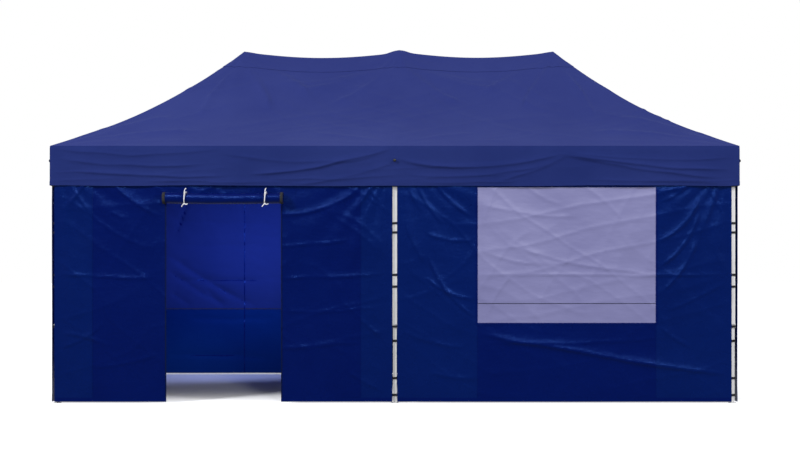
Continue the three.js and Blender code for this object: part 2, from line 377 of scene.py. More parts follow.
def roof_height(x, y):
    """Height of the cover: a hipped roof that sags between ridge and eave, with its folds."""
    u = np.clip((HALF_DEPTH - np.abs(y)) / HALF_DEPTH, 0, 1)
    v = np.clip((HALF_LENGTH - np.abs(x)) / (HALF_LENGTH - RIDGE_HALF), 0, 1)
    t = np.minimum(u, v)
    top = ridge_height(x)
    base = EAVE + (top - EAVE) * t - ROOF_SAG * np.sin(np.pi * t)
    inside = np.sin(np.pi * np.clip(t, 0, 1))
    belly = 0.020 * inside * np.clip(np.abs(u - v) * 2, 0, 1)
    mast = sum(h * np.exp(-(((x - m) ** 2 + y ** 2) / 0.010) ** 1.5) for m, h in zip(MASTS, MAST_CAPS))
    pulled = sum(rays(x, y, (m, 0), 11, 0.42, m) for m in MASTS)
    corner = rays(np.abs(x), np.abs(y), (HALF_LENGTH, HALF_DEPTH), 19, 0.55)
    leg = rays(x, np.abs(y), (0, HALF_DEPTH), 13, 0.35)
    fine = creases(x, y * 1.3, 24, 0.16, 1.3, 3) + creases(x, y, -32, 0.2, 1.1, 8)
    rough = PEAK_PULL * pulled + CORNER_PULL * corner + LEG_PULL * leg + ROOF_CREASE * fine * inside
    rough = rough + ROOF_BILLOW * swell(x, y, 0.8, 21) * inside
    off_hip = np.clip(6 * np.abs(u - v), 0.15, 1)
    folds = fold_lines(np.abs(x), np.abs(y), ROOF_FOLDS, ROOF_FOLD_NARROW)
    rough = rough + ROOF_FOLD_DEPTH * folds * inside * off_hip
    return base - belly + mast + rough * np.clip(8 * t, 0, 1)


def add_object(name, data):
    piece = bpy.data.objects.new(name, data)
    bpy.context.scene.collection.objects.link(piece)
    return piece


def new_mesh(name, points, faces, material, smooth=True):
    mesh = bpy.data.meshes.new(name)
    mesh.from_pydata([tuple(p) for p in points], [], faces)
    mesh.materials.append(material)
    if smooth:
        mesh.polygons.foreach_set("use_smooth", [True] * len(mesh.polygons))
    mesh.update()
    return add_object(name, mesh)


def sharpen_rim(mesh):
    """Marks the cut edges of a sheet sharp, so that its face isn't shaded round towards its rim."""
    bm = bmesh.new()
    bm.from_mesh(mesh)
    for edge in bm.edges:
        edge.smooth = not edge.is_boundary
    bm.to_mesh(mesh)
    bm.free()


def grid_sheet(name, us, vs, place, material, keep=None, thickness=CLOTH):
    """A sheet over a grid of us by vs. place(u, v) gives arrays x, y, z; keep(u, v) drops cells."""
    uu, vv = np.meshgrid(us, vs)
    x, y, z = place(uu, vv)
    points = np.stack([x.ravel(), y.ravel(), z.ravel()], 1)
    columns = len(us)
    faces = []
    for j in range(len(vs) - 1):
        for i in range(columns - 1):
            if keep is not None and not keep((us[i] + us[i + 1]) / 2, (vs[j] + vs[j + 1]) / 2):
                continue
            a = j * columns + i
            faces.append((a, a + 1, a + columns + 1, a + columns))
    used = np.zeros(len(points), bool)
    used[np.array(faces).ravel()] = True
    index = np.cumsum(used) - 1
    faces = [tuple(int(index[k]) for k in face) for face in faces]
    piece = new_mesh(name, points[used], faces, material)
    sharpen_rim(piece.data)
    solid = piece.modifiers.new("thickness", "SOLIDIFY")
    solid.thickness = thickness
    solid.offset = 0
    return piece


def fasten(piece, body):
    """Gives a rigid piece the body that it rides."""
    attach(piece, body)


def spaced(low, high, step, marks=()):
    """Grid lines from low to high about step apart that pass through each of the marks."""
    stops = [low] + sorted(m for m in marks if low < m < high) + [high]
    lines = []
    for a, b in zip(stops, stops[1:]):
        count = max(1, round((b - a) / step))
        lines += list(np.linspace(a, b, count, endpoint=False))
    return np.array(lines + [high])


def follow_fold(piece, body, axis, anchor, keep):
    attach(piece, body)
    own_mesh(piece)


# ---- roof cover ----
ROOF_STEPS = 72
CAP_FROM = 0.875
CAP_LIFT = 0.004
CAP_ROWS = 9


def slope_place(side, t_low=0.0, t_high=1.0, lift=0.0):
    """Front (side -1) or rear (side 1) slope: across runs -1 to 1 between the hips, t eave to ridge."""
    def place(across, share):
        t = t_low + (t_high - t_low) * share
        x = across * (HALF_LENGTH + (RIDGE_HALF - HALF_LENGTH) * t)
        y = side * HALF_DEPTH * (1 - t)
        return x * -side, y, roof_height(x * -side, y) + lift
    return place


def end_place(side):
    """Left (side -1) or right (side 1) end of the roof."""
    def place(across, t):
        x = side * (HALF_LENGTH + (RIDGE_HALF - HALF_LENGTH) * t)
        y = across * HALF_DEPTH * (1 - t) * side
        return x, y, roof_height(x, y)
    return place


def make_roof():
    across_long = np.linspace(-1, 1, 4 * ROOF_STEPS)
    across_short = np.linspace(-1, 1, 2 * ROOF_STEPS)
    up = np.linspace(0, 1, ROOF_STEPS)
    for name, side in (("front", -1), ("rear", 1)):
        panel = grid_sheet(f"cover_{name}_slope", across_long, up, slope_place(side), COVER)
        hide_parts(f"roof_{name}")
        follow_fold(panel, f"roof_{name}", *SLOPE_MOTION)
        cap_place = slope_place(side, CAP_FROM, 1.0, CAP_LIFT)
        cap = grid_sheet(f"ridge_cap_{name}", across_long, np.linspace(0, 1, CAP_ROWS), cap_place, COVER)
        follow_fold(cap, f"roof_{name}", *SLOPE_MOTION)
    for name, side in (("left", -1), ("right", 1)):
        panel = grid_sheet(f"cover_{name}_end", across_short, up, end_place(side), COVER)
        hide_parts(f"roof_{name}")
        follow_fold(panel, f"roof_{name}", *END_MOTION)


# ---- valance ----
VALANCE_FOLDS = (
    (-0.98, 0.020, -0.52, 0.030, 0.050, 0.010, 0.008),
    (-0.97, 0.110, -0.55, 0.150, 0.040, 0.012, 0.010),
    (-0.93, 0.215, -0.50, 0.265, 0.020, 0.008, 0.014),
    (-0.72, 0.300, -0.30, 0.300, 0.010, 0.008, 0.007),
    (-0.50, 0.060, -0.05, 0.090, 0.060, 0.014, 0.008),
    (-0.42, 0.235, -0.02, 0.030, 0.042, 0.010, 0.019),
    (-0.36, 0.275, 0.00, 0.250, 0.020, 0.009, 0.008),
    (-0.30, 0.330, 0.02, 0.120, 0.045, 0.010, 0.009),
    (0.00, 0.110, 0.49, 0.065, 0.090, 0.011, 0.019),
    (0.04, 0.240, 0.44, 0.150, 0.060, 0.010, 0.009),
    (0.06, 0.310, 0.36, 0.290, 0.015, 0.008, 0.008),
    (0.30, 0.310, 0.50, 0.080, 0.020, 0.009, 0.010),
    (0.49, 0.065, 0.97, 0.205, 0.035, 0.010, 0.017),
    (0.50, 0.085, 0.95, 0.270, 0.025, 0.009, 0.013),
    (0.50, 0.050, 0.98, 0.090, 0.045, 0.010, 0.009),
    (0.56, 0.300, 0.97, 0.310, 0.010, 0.008, 0.007),
)


def valance_bulge(run, z, half, seed):
    """How far the band stands out: swags between the tacks, and slow billows. Run is along the band."""
    drop = (EAVE - z) / (EAVE - VALANCE_BOTTOM)
    turned = run if seed % 2 else -run
    lines = [
        (x0 * half, EAVE - down0, x1 * half, EAVE - down1, *rest)
        for x0, down0, x1, down1, *rest in VALANCE_FOLDS
    ]
    out = fold_lines(turned, z, lines)
    out = out + 0.007 * swell(run, 2 * z, 0.5, seed + 30) * drop
    out = out + 0.004 * creases(run, 2.2 * z, 8, 0.18, 1.2, seed + 40) * drop
    return out * np.clip(12 * drop, 0, 1)


def valance_wave(run, seed):
    return 0.005 * value_noise(run * 1.7, run * 0, seed) - 0.003


def make_band(name, half, to_space, seed):
    runs = np.linspace(-half, half, int(half * 2 / 0.020))
    levels = spaced(VALANCE_BOTTOM, EAVE, 0.0075)

    def place(run, z):
        drop = (EAVE - z) / (EAVE - VALANCE_BOTTOM)
        fade = np.clip((half - np.abs(run)) / 0.12, 0, 1)
        out = 0.002 * np.clip(12 * drop, 0, 1) + valance_bulge(run, z, half, seed) * fade
        return to_space(run, out, z + valance_wave(run, seed) * drop * fade)

    def hem_place(run, z):
        x, y, zz = place(run, z)
        return x * 1.0004, y * 1.0009, zz - 0.0004

    band = grid_sheet(f"{name}_band", runs, levels, place, BAND)
    hem_levels = spaced(VALANCE_BOTTOM, VALANCE_BOTTOM + HEM, 0.009)
    hem = grid_sheet(f"{name}_hem", runs, hem_levels, hem_place, BAND)
    return band, hem


def make_valance():
    makers = {
        "front": (HALF_LENGTH, lambda r, o, z: (r, -HALF_DEPTH - o, z), BAND_MOTION, 1),
        "rear": (HALF_LENGTH, lambda r, o, z: (-r, HALF_DEPTH + o, z), BAND_MOTION, 2),
        "left": (HALF_DEPTH, lambda r, o, z: (-HALF_LENGTH - o, -r, z), END_MOTION, 3),
        "right": (HALF_DEPTH, lambda r, o, z: (HALF_LENGTH + o, r, z), END_MOTION, 4),
    }
    for name, (half, to_space, motion, seed) in makers.items():
        band, hem = make_band(f"valance_{name}", half, to_space, seed)
        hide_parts(f"valance_{name}")
        for piece, height in ((band, EAVE - VALANCE_BOTTOM), (hem, HEM)):
            follow_fold(piece, f"valance_{name}", *motion)


# ---- walls ----
WALL_FOLDS = {
    "door": (
        (-2.87, 2.06, -2.6, 1.62, 0.02, 0.01, 0.01), (-2.6, 2.03, -2.86, 1.66, 0.02, 0.01, 0.009),
        (-2.55, 2.05, -2.03, 1.62, 0.05, 0.012, 0.013), (-2.45, 1.66, -2.3, 1.6, 0.01, 0.01, 0.006),
        (-2.9, 1.12, -2.08, 1.08, 0.01, 0.009, 0.01), (-2.88, 0.6, -2.45, 0.5, -0.02, 0.01, 0.009),
        (-2.88, 0.48, -2.52, 0.68, 0.03, 0.01, 0.009), (-2.6, 0.3, -2.05, 0.42, 0.02, 0.012, 0.007),
        (-1.0, 1.62, -0.32, 1.82, 0.05, 0.012, 0.013), (-1.0, 1.36, -0.4, 1.41, 0.02, 0.01, 0.009),
        (-1.0, 1.08, -0.1, 1.12, 0.01, 0.009, 0.01), (-0.98, 0.79, -0.12, 0.82, 0.01, 0.009, 0.006),
        (-0.98, 0.48, -0.3, 0.53, 0.01, 0.01, 0.007), (-0.34, 2.05, -0.1, 1.72, 0.02, 0.01, 0.01),
        (-0.1, 2.05, -0.34, 1.66, 0.02, 0.01, 0.01), (-0.3, 0.72, -0.12, 0.58, 0.01, 0.009, 0.008),
        (-0.4, 0.28, -0.08, 0.1, 0.01, 0.011, 0.008),
    ),
    "window": (
        (0.05, 2.06, 0.24, 1.66, 0.03, 0.013, 0.012), (0.14, 2.08, 0.42, 1.55, 0.05, 0.013, 0.014),
        (0.26, 2.08, 0.66, 1.62, 0.06, 0.013, 0.014), (0.07, 1.62, 0.26, 1.22, 0.02, 0.012, 0.01),
        (0.27, 1.46, 0.68, 1.4, 0.03, 0.011, 0.011), (0.28, 1.28, 0.68, 0.74, 0.05, 0.012, 0.015),
        (0.27, 1.09, 0.69, 0.9, 0.04, 0.011, 0.011), (0.06, 0.62, 0.6, 0.48, 0.02, 0.012, 0.008),
        (0.3, 0.26, 0.7, 0.22, 0.02, 0.018, 0.009), (0.74, 0.6, 2.86, 0.25, 0.02, 0.024, 0.024),
        (0.8, 0.52, 2.3, 0.56, 0.02, 0.011, 0.007), (1.0, 1.36, 2.24, 1.11, 0.04, 0.013, 0.007),
        (0.74, 1.72, 1.6, 1.62, 0.04, 0.013, 0.006), (0.76, 1.32, 1.5, 1.2, 0.05, 0.012, 0.006),
        (0.72, 1.1, 2.88, 1.1, 0.0, 0.008, 0.008), (0.8, 0.76, 1.02, 1.1, -0.03, 0.01, 0.006),
        (2.62, 1.78, 2.28, 1.4, 0.06, 0.012, 0.015), (2.63, 1.66, 2.28, 1.18, 0.06, 0.012, 0.014),
        (2.6, 2.02, 2.3, 1.74, 0.05, 0.012, 0.012), (2.62, 1.42, 2.29, 0.95, 0.04, 0.012, 0.011),
        (2.3, 1.84, 2.62, 1.9, 0.02, 0.01, 0.009), (2.28, 0.66, 2.56, 0.48, 0.01, 0.01, 0.009),
        (2.66, 2.06, 2.82, 1.66, 0.02, 0.012, 0.011), (2.82, 2.04, 2.66, 1.5, 0.02, 0.012, 0.009),
        (2.34, 0.8, 2.84, 1.04, 0.02, 0.011, 0.007),
    ),
    "rear": (
        (2.52, 1.27, 1.56, 0.72, 0.03, 0.018, 0.04), (2.54, 1.12, 1.9, 0.73, 0.02, 0.014, 0.026),
        (2.5, 0.88, 2.28, 0.74, 0.01, 0.012, 0.02), (2.12, 0.92, 1.95, 0.74, 0.01, 0.012, 0.02),
        (2.55, 1.66, 1.3, 1.62, 0.01, 0.01, 0.016), (2.4, 1.4, 1.4, 1.38, 0.01, 0.009, 0.016),
        (2.55, 1.02, 1.3, 1.04, 0.02, 0.01, 0.018), (2.45, 1.5, 2.3, 1.9, 0.0, 0.01, 0.02),
        (2.3, 0.62, 1.4, 0.6, 0.02, 0.014, 0.016), (2.5, 0.2, 1.4, 0.16, -0.02, 0.014, 0.016),
        (-2.6, 1.9, -1.4, 1.2, 0.05, 0.016, 0.024), (-2.7, 0.8, -0.6, 0.62, 0.03, 0.018, 0.02),
        (0.1, 1.8, 1.0, 1.3, 0.05, 0.014, 0.024), (-1.2, 1.6, -0.1, 1.2, 0.04, 0.014, 0.02),
    ),
    "side": (
        (-1.3, 2.02, -0.7, 1.4, 0.05, 0.014, 0.013), (1.3, 2.02, 0.66, 1.36, 0.05, 0.014, 0.013),
        (-1.34, 1.1, 1.34, 1.08, 0.01, 0.009, 0.009), (-1.3, 0.56, 1.1, 0.5, 0.02, 0.012, 0.008),
        (-0.6, 1.78, 0.7, 1.66, 0.06, 0.016, 0.01), (-1.1, 0.8, -0.2, 0.4, 0.03, 0.014, 0.01),
        (1.2, 0.88, 0.4, 0.34, 0.03, 0.014, 0.01),
    ),
}

# The grid step and the narrowing of the folds for each kind of wall.
WALL_GRIDS = {"door": (0.012, 0.70), "window": (0.012, 0.70), "rear": (0.020, 1.0), "side": (0.022, 1.0)}
STRIP_STEP = 0.018
FRONT_STRIP_STEP = 0.012
LINING_STEP = 0.024


def wall_bulge(run, z, seed, lines, half):
    """Out-of-plane shape of a hung wall: billows, packing creases, pulls from the top corners."""
    height = (z - WALL_BOTTOM) / (WALL_TOP - WALL_BOTTOM)
    slow = 0.014 * swell(run, z, 0.75, seed)
    fans = rays(run, z, (-half, WALL_TOP), 23, 0.75) + rays(run, z, (half, WALL_TOP), 23, 0.75, 1.0)
    fine = creases(run, z, -38, 0.17, 0.9, seed + 4) + creases(run, z, 12, 0.22, 1.2, seed + 7)
    fine = fine + 0.7 * creases(run, z, 62, 0.25, 0.8, seed + 9)
    edge = np.clip((1 - height) * 20, 0, 1)
    return (slow + 0.006 * fans + 0.0050 * fine * (0.3 + 0.7 * height)) * edge + lines * edge - 0.002


def make_wall(name, node, hang, seed, to_space, run_low, run_high, kind, skip=None, marks=((), ())):
    """A hung wall; to_space(run, out, z) puts it in its plane, and skip(run, z) cuts its openings.

    hang is the body that it rides and how it gets narrower; only the body is used. What comes back gives the
    wall's shape at a lift, so that strips and the window can be laid on it.
    """
    step, narrow = WALL_GRIDS[kind]
    middle = (run_low + run_high) / 2
    half = (run_high - run_low) / 2
    leg_at_middle = 0.0 if half > LEG_Y + 0.1 else half
    runs = spaced(run_low, run_high, step, marks[0])
    levels = spaced(WALL_BOTTOM, WALL_TOP, step, marks[1])

    def place_with(lift):
        def place(run, z):
            edge = np.clip(np.minimum(run - run_low, run_high - run) / 0.12, 0.15, 1)
            lines = fold_lines(run, z, WALL_FOLDS[kind], narrow)
            out = wall_bulge(run - middle, z, seed, lines, half) * edge
            to_end = np.minimum(run - run_low, run_high - run)
            to_leg = np.minimum(to_end, np.abs(run - middle) + leg_at_middle)
            out = np.maximum(out, -0.0018 - 0.2 * np.maximum(to_leg - 0.04, 0))
            if kind == "side":
                out = np.minimum(out, 0.005 + 0.3 * np.maximum(VALANCE_BOTTOM - 0.02 - z, 0))
            out = out + lift
            return to_space(run, out, z)
        return place

    keep = None if skip is None else (lambda u, v: not skip(u, v))
    wall = grid_sheet(name, runs, levels, place_with(0.0), WALL, keep)
    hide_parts(node)
    follow_fold(wall, *hang)
    return place_with


def make_strip(name, hang, place_with, box, material, lift=TAPE_LIFT, step=None):
    """A band of cloth, zip or tape sewn on a wall: box is run low, run high, z low, z high."""
    step = step or (FRONT_STRIP_STEP if hang == FRONT_HANG else STRIP_STEP)
    runs, levels = spaced(box[0], box[1], step), spaced(box[2], box[3], step)
    strip = grid_sheet(name, runs, levels, place_with(lift), material)
    follow_fold(strip, *hang)


TAPE_WIDTH = 0.010
REINFORCEMENT = 0.27
DOOR_EXTRA = 0.06
REAR_SEAM = 0.705
REAR_SEAM_WIDTH = 0.009
REAR_JOINS = (-1.70, 0.08, 1.70)
SILL_WELD = 0.17
WELD_WIDTH = 0.004
PANE_SEAM = 0.014


def front_space(run, out, z):
    return run, FRONT_Y - out, z


def finish_wall(prefix, hang, place_with, low, high):
    """Doubled cloth at both ends, in the lighter cloth whose tone is painted sheen, and a hem along the foot.
    """
    for end, a, b in (("low", low, low + REINFORCEMENT), ("high", high - REINFORCEMENT, high)):
        make_strip(f"{prefix}_{end}_doubling", hang, place_with, (a, b, WALL_BOTTOM, WALL_TOP), PANEL_WITH_PAINTED_SHEEN)
    box = (low, high, WALL_BOTTOM, WALL_BOTTOM + HEM)
    make_strip(f"{prefix}_foot_hem", hang, place_with, box, WALL, lift=HEM_LIFT)


def make_door_wall():
    low, high = DOOR_WALL[0][0], DOOR_WALL[1][0]

    def in_doorway(run, z):
        return DOOR_LEFT < run < DOOR_RIGHT and z < DOOR_TOP

    place_with = make_wall(
        "door_wall_cloth", "front_left_wall", FRONT_HANG, 5, front_space, low, high,
        "door", in_doorway, ((DOOR_LEFT, DOOR_RIGHT), (DOOR_TOP,)),
    )
    outer = low + REINFORCEMENT + DOOR_EXTRA
    # The doubled ends are laid in the lighter cloth. Their lighter tone is painted sheen.
    for end, a, b in (("outer", low, outer), ("inner", high - REINFORCEMENT, high)):
        box = (a, b, WALL_BOTTOM, WALL_TOP)
        make_strip(f"door_wall_{end}_doubling", FRONT_HANG, place_with, box, PANEL_WITH_PAINTED_SHEEN)
    for end, a, b in (("outer", low, DOOR_LEFT), ("inner", DOOR_RIGHT, high)):
        box = (a, b, WALL_BOTTOM, WALL_BOTTOM + HEM)
        make_strip(f"door_wall_{end}_hem", FRONT_HANG, place_with, box, WALL, lift=HEM_LIFT)
    for end, edge in (("left", DOOR_LEFT - 0.9 * TAPE_WIDTH), ("right", DOOR_RIGHT - 0.1 * TAPE_WIDTH)):
        box = (edge, edge + TAPE_WIDTH, WALL_BOTTOM, DOOR_TOP)
        make_strip(f"door_{end}_zip", FRONT_HANG, place_with, box, ZIP)


def make_window_wall():
    low, high = WINDOW_WALL[0][0], WINDOW_WALL[1][0]
    x0, z0, x1, z1 = PANE[0][0], PANE[0][2], PANE[1][0], PANE[1][2]

    def in_window(run, z):
        return x0 < run < x1 and z0 < z < z1

    place_with = make_wall(
        "window_wall_cloth", "front_right_wall", FRONT_HANG, 9, front_space, low, high,
        "window", in_window, ((x0, x1), (z0, z1)),
    )
    finish_wall("window_wall", FRONT_HANG, place_with, low, high)
    # The panels beside the window are laid in the lighter cloth. Their lighter tone is painted sheen.
    for end, a, b in (("left", low + 0.25, x0), ("right", x1, high - REINFORCEMENT)):
        box = (a, b, WALL_BOTTOM, WALL_TOP)
        make_strip(f"window_{end}_panel", FRONT_HANG, place_with, box, PANEL_WITH_PAINTED_SHEEN, lift=0.8 * TAPE_LIFT)
    runs, levels = spaced(x0, x1, FRONT_STRIP_STEP), spaced(z0, z1, FRONT_STRIP_STEP)
    pane = grid_sheet("clear_window_film", runs, levels, place_with(0.0), FILM, thickness=0.0006)
    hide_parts("window_pane")
    follow_fold(pane, *FRONT_HANG)
    weld = z0 + SILL_WELD
    edges = {
        "left": (x0 - PANE_SEAM, x0 + WELD_WIDTH, z0 - PANE_SEAM, z1),
        "right": (x1 - WELD_WIDTH, x1 + PANE_SEAM, z0 - PANE_SEAM, z1),
        "foot": (x0, x1, z0 - PANE_SEAM, z0 + WELD_WIDTH),
        "weld": (x0, x1, weld, weld + WELD_WIDTH),
    }
    for edge, box in edges.items():
        material = THREAD if edge == "weld" else WALL
        make_strip(f"window_{edge}_seam", FRONT_HANG, place_with, box, material)


def make_plain_walls():
    y = -FRONT_Y
    width = -DOOR_WALL[0][0]
    place_with = make_wall(
        "rear_wall_cloth", "rear_wall", REAR_HANG, 14, lambda r, o, z: (-r, y + o, z), -width, width, "rear",
    )
    # Inside the rear wall, a lining and a skirt in lighter cloths: painted light shining through the wall,
    # stronger above the cross seam.
    for part, low, high, material in (
        ("lining", REAR_SEAM, WALL_TOP, LINING_PAINTED_LIGHT), ("skirt", WALL_BOTTOM, REAR_SEAM, SKIRT_PAINTED_LIGHT),
    ):
        box = (-width, width, low, high)
        make_strip(f"rear_wall_{part}", REAR_HANG, place_with, box, material, -TAPE_LIFT, LINING_STEP)
    for side, lift in (("inner", -2 * TAPE_LIFT), ("outer", TAPE_LIFT)):
        box = (-width, width, REAR_SEAM, REAR_SEAM + REAR_SEAM_WIDTH)
        make_strip(f"rear_wall_{side}_cross_seam", REAR_HANG, place_with, box, THREAD, lift=lift)
        for number, run in enumerate(REAR_JOINS, 1):
            box = (run, run + TAPE_WIDTH, WALL_BOTTOM, WALL_TOP)
            name = f"rear_wall_{side}_seam_{number}"
            make_strip(name, REAR_HANG, place_with, box, WALL, lift=1.2 * lift)
    finish_wall("rear_wall", REAR_HANG, place_with, -width, width)
    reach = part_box("left_wall")[1][1]
    sides = {
        "left": (lambda r, o, z: (-SIDE_X - o, -r, z), 17),
        "right": (lambda r, o, z: (SIDE_X + o, r, z), 19),
    }
    for name, (to_space, seed) in sides.items():
        hang = (f"rear_{name}_leg", ALONG_Y, REAR_ANCHOR, WALL_KEEP)
        place_with = make_wall(
            f"{name}_wall_cloth", f"{name}_wall", hang, seed, to_space, -reach, reach, "side",
        )
        finish_wall(f"{name}_wall", hang, place_with, -reach, reach)


# ---- rolled door ----
ROLL_RADIUS = 0.047
ROLL_HEIGHT = 1.769
ROLL_OUT = 0.041
ROLL_TURNS = 9.4
ROLL_STEPS = 240
ROLL_CORE = 0.012
TIE_PLACES = (DOOR_LEFT + 0.17, DOOR_RIGHT - 0.13)


def make_rolled_door():
    """The door panel, rolled up in a spiral and held by two ties."""
    low, high = DOOR_LEFT - 0.02, DOOR_RIGHT + 0.02

    def spiral(run, share):
        angle = 2 * np.pi * ROLL_TURNS * share
        radius = ROLL_CORE + (ROLL_RADIUS - ROLL_CORE) * share
        pinch = sum(np.exp(-((run - tie) / 0.03) ** 2) for tie in TIE_PLACES)
        radius = radius * (1 - 0.10 * pinch)
        radius = radius + 0.0025 * creases(run, 0.08 * np.sin(angle), 4, 0.05, 0.5, 31) * share
        radius = radius + 0.003 * value_noise(run * 4 + np.cos(angle), np.sin(angle), 33) * share
        sag = 0.006 * np.cos((run - (low + high) / 2) * 3.0)
        y = FRONT_Y - ROLL_OUT + radius * np.sin(angle)
        z = ROLL_HEIGHT + radius * np.cos(angle) - sag
        return run, y, z

    roll = grid_sheet("rolled_door", spaced(low, high, 0.012), np.linspace(0.02, 1, ROLL_STEPS), spiral, WALL)
    follow_fold(roll, *FRONT_HANG)
    for side, a, b in (("left", low - 0.002, low + 0.022), ("right", high - 0.022, high + 0.002)):
        def cuff(run, share):
            angle = 2 * np.pi * share
            radius = ROLL_RADIUS + 0.003 + 0.001 * np.sin(5 * angle)
            return run, FRONT_Y - ROLL_OUT + radius * np.sin(angle), ROLL_HEIGHT + radius * np.cos(angle)
        end = grid_sheet(f"rolled_zip_{side}", np.linspace(a, b, 6), np.linspace(0, 1, 40), cuff, STRAP)
        follow_fold(end, *FRONT_HANG)


def tube(name, path, radius, material, sides=8):
    """A round cord as a mesh along a list of points."""
    path = np.array(path, float)
    tangents = np.gradient(path, axis=0)
    tangents /= np.linalg.norm(tangents, axis=1)[:, None]
    points = []
    for p, t in zip(path, tangents):
        side = np.cross(t, (0.3, 0.1, 0.95))
        side /= np.linalg.norm(side)
        other = np.cross(t, side)
        for k in range(sides):
            a = 2 * math.pi * k / sides
            points.append(p + radius * (math.cos(a) * side + math.sin(a) * other))
    faces = []
    for j in range(len(path) - 1):
        for k in range(sides):
            a, b = j * sides + k, j * sides + (k + 1) % sides
            faces.append((a, b, b + sides, a + sides))
    faces.append(tuple(reversed(range(sides))))
    faces.append(tuple(range((len(path) - 1) * sides, len(path) * sides)))
    return new_mesh(name, points, faces, material)


def make_ties():
    radius = ROLL_RADIUS + 0.007
    for number, x in enumerate(TIE_PLACES, 1):
        y, z = FRONT_Y - ROLL_OUT, ROLL_HEIGHT
        loop = []
        for k in range(33):
            a = math.radians(-160 + 330 * k / 32)
            loop.append((x + 0.006 * math.sin(a), y - radius * math.cos(a), z + radius * math.sin(a)))
        hang = [
            (x, FRONT_Y - 0.004, z + 0.085), (x + 0.002, FRONT_Y - 0.03, z + 0.083),
            (x + 0.001, y - radius * 0.75, z + 0.062), (x, y - radius - 0.003, z + 0.02),
            (x - 0.001, y - radius - 0.004, z - 0.02), (x - 0.004, y - radius * 0.85, z - radius * 0.75),
        ]
        knot = (x, y - 0.04, z - 0.046)
        tails = {
            "strand": hang,
            "tail_a": [knot, (x + 0.012, y - 0.05, z - 0.056), (x + 0.030, y - 0.05, z - 0.052)],
            "tail_b": [knot, (x - 0.010, y - 0.05, z - 0.058), (x - 0.024, y - 0.05, z - 0.076)],
            "loop": loop,
        }
        for part, path in tails.items():
            piece = tube(f"door_tie_{number}_{part}", smooth_path(path), 0.0042, TIE)
            follow_fold(piece, *FRONT_HANG)


def smooth_path(points, per_span=6):
    """Catmull-Rom curve through the points."""
    p = [np.array(q, float) for q in points]
    p = [2 * p[0] - p[1]] + p + [2 * p[-1] - p[-2]]
    out = []
    for a, b, c, d in zip(p, p[1:], p[2:], p[3:]):
        for k in range(per_span):
            t = k / per_span
            out.append(0.5 * (2 * b + (c - a) * t + (2 * a - 5 * b + 4 * c - d) * t * t
                              + (3 * b - 3 * c + d - a) * t ** 3))
    return out + [p[-2]]


# ---- hardware ----
def solid_piece(name, bm, material):
    bmesh.ops.recalc_face_normals(bm, faces=bm.faces)
    mesh = bpy.data.meshes.new(name)
    bm.to_mesh(mesh)
    bm.free()
    mesh.materials.append(material)
    return add_object(name, mesh)


def lathe(name, profile, material, origin, axis, sides=20):
    """A turned piece: profile is [(radius, height), ...] from the axis to the axis."""
    points, faces = [], []
    for k in range(sides):
        a = 2 * math.pi * k / sides
        points += [(r * math.cos(a), r * math.sin(a), h) for r, h in profile]
    rows = len(profile)
    for k in range(sides):
        n = (k + 1) % sides
        for i in range(rows - 1):
            faces.append((k * rows + i, n * rows + i, n * rows + i + 1, k * rows + i + 1))
    turn = Vector(axis).to_track_quat("Z", "Y").to_matrix().to_4x4()
    matrix = Matrix.Translation(origin) @ turn
    bm = bmesh.new()
    verts = [bm.verts.new(matrix @ Vector(p)) for p in points]
    for face in faces:
        bm.faces.new([verts[i] for i in face])
    bmesh.ops.remove_doubles(bm, verts=bm.verts, dist=1e-6)
    piece = solid_piece(name, bm, material)
    piece.data.polygons.foreach_set("use_smooth", [True] * len(piece.data.polygons))
    return piece


def join(pieces, name):
    bpy.ops.object.select_all(action="DESELECT")
    for piece in pieces:
        piece.select_set(True)
    bpy.context.view_layer.objects.active = pieces[0]
    bpy.ops.object.join()
    pieces[0].name = name
    return pieces[0]


RIVET = [(0, 0.0), (0.0075, 0.0), (0.0080, 0.0012), (0.0062, 0.0034), (0.003, 0.0046), (0, 0.0050)]
BUTTON = [(0, -0.002), (0.0075, -0.002), (0.0075, 0.002), (0.0062, 0.0034), (0.0055, 0.0036), (0.005, 0.007),
          (0.003, 0.0088), (0, 0.0094)]
PIN = [(0, -0.002), (0.0075, -0.002), (0.0075, 0.0004), (0.0060, 0.0009), (0, 0.0010)]
TOGGLE = [(0, -0.006), (0.006, -0.006), (0.006, 0.004), (0.012, 0.006), (0.013, 0.012), (0.008, 0.018),
          (0, 0.020)]
BAR_FACE = 0.011
LEGS = {
    f"{row}_{column}": Vector((x, y, 0))
    for row, y in (("front", -LEG_Y), ("rear", LEG_Y))
    for column, x in (("left", -LEG_X), ("middle", 0.0), ("right", LEG_X))
}
SPANS = (
    ("front_left_truss", "front_left", "front_middle"), ("front_right_truss", "front_middle", "front_right"),
    ("rear_left_truss", "rear_left", "rear_middle"), ("rear_right_truss", "rear_middle", "rear_right"),
    ("left_end_truss", "front_left", "rear_left"), ("middle_truss", "front_middle", "rear_middle"),
    ("right_end_truss", "front_right", "rear_right"),
)


def make_rivets():
    """A rivet head at both ends and at the crossing of every truss bar."""
    half_span = LEG_Y - PIVOT_REACH
    for span, start, finish in SPANS:
        way = (LEGS[finish] - LEGS[start]).normalized()
        layer = Vector((0, 1, 0)) if abs(way.x) > 0.5 else Vector((1, 0, 0))
        for bar, leg, direction, from_top, level in (
            ("a", start, 1, True, -1), ("b", start, 1, False, 1),
            ("c", finish, -1, False, -1), ("d", finish, -1, True, 1),
        ):
            z = PIVOT_HEIGHT if from_top else PIVOT_HEIGHT - SLIDER_DROP
            first = LEGS[leg] + way * direction * PIVOT_REACH + Vector((0, 0, z))
            step = way * direction * half_span + Vector((0, 0, -SLIDER_DROP if from_top else SLIDER_DROP))
            face = layer * level * BAR_FACE
            heads = [
                lathe(f"head_{k}", RIVET, ZINC, first + step * share + face, layer * level, 14)
                for k, share in enumerate((0.0, 0.5, 1.0))
            ]
            fasten(join(heads, f"{span}_rivets_{bar}"), f"{span}_bar_{bar}")


